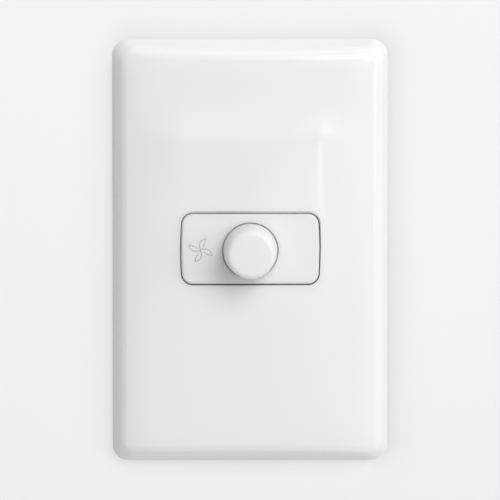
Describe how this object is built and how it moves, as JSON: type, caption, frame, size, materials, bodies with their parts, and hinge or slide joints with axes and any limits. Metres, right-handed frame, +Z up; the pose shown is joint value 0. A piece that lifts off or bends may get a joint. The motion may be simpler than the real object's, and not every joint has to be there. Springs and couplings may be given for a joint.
{
  "type": "fan speed control switch",
  "caption": "Tall white wall plate with a softly raised pad, a small bowed control module and a round tapered knob that turns to set a fan's speed.",
  "frame": {"origin": "centre of the wall plate's outline, on the wall plane, midway between the two fixing screws", "axes": "+X to the right seen from the front, +Z up the wall, front faces -Y, wall cavity at +Y"},
  "size_m": [0.076, 0.0551, 0.117],
  "materials": {
    "white_gloss": "satin gloss white",
    "knob_white": "satin white",
    "frame_white": "matt",
    "zinc_steel": "zinc plated",
    "case_black": "fine matt",
    "aluminium": "mill",
    "spring_steel": "bright",
    "nickel_brass": "nickel plated",
    "rotor_plastic": "natural",
    "spring_bronze": "bright",
    "phenolic": "pressed",
    "tinned": "tinned",
    "board": "pressed laminate",
    "moulding_black": "matt",
    "ferrite": "sintered",
    "copper": "varnished wire",
    "capacitor_yellow": "moulded",
    "capacitor_red": "dipped",
    "trim_blue": "moulded",
    "resistor_tan": "lacquered",
    "diac_blue": "lacquered",
    "fuse_white": "plain",
    "brass": "machined"
  },
  "bodies": {
    "wall_unit": {"surround": "white_gloss", "module_fascia": "white_gloss", "grid_plate": "frame_white", "mounting_screws": "zinc_steel", "module_housing": "case_black", "heat_sink_plate": "aluminium", "pot_bush": "nickel_brass", "pot_nut": "zinc_steel", "pot_lock_washer": "spring_steel", "pot_case": "zinc_steel", "pot_track": "phenolic", "pot_pins": "tinned", "circuit_board": "board", "triac_body": "moulding_black", "triac_tab": "tinned", "triac_rivet": "aluminium", "triac_leads": "tinned", "choke_core": "ferrite", "choke_winding": "copper", "choke_tails": "copper", "film_capacitor": "capacitor_yellow", "timing_capacitor": "capacitor_red", "trim_pot": "trim_blue", "resistors": "resistor_tan", "diac": "diac_blue", "thermal_fuse": "fuse_white", "terminals": "brass", "terminal_screws": "zinc_steel", "terminal_straps": "brass"},
    "knob_unit": {"knob": "knob_white", "knob_spring": "spring_steel", "pot_shaft": "nickel_brass", "pot_rotor": "rotor_plastic", "wiper_contact": "spring_bronze", "shaft_clip": "spring_steel"}
  },
  "joints": [
    {"name": "knob_turn", "type": "hinge", "parent": "wall_unit", "child": "knob_unit", "pos_m": [0, -0.014, 0.0008], "axis": [0, 1, 0], "range_deg": [0, 280]}
  ]
}
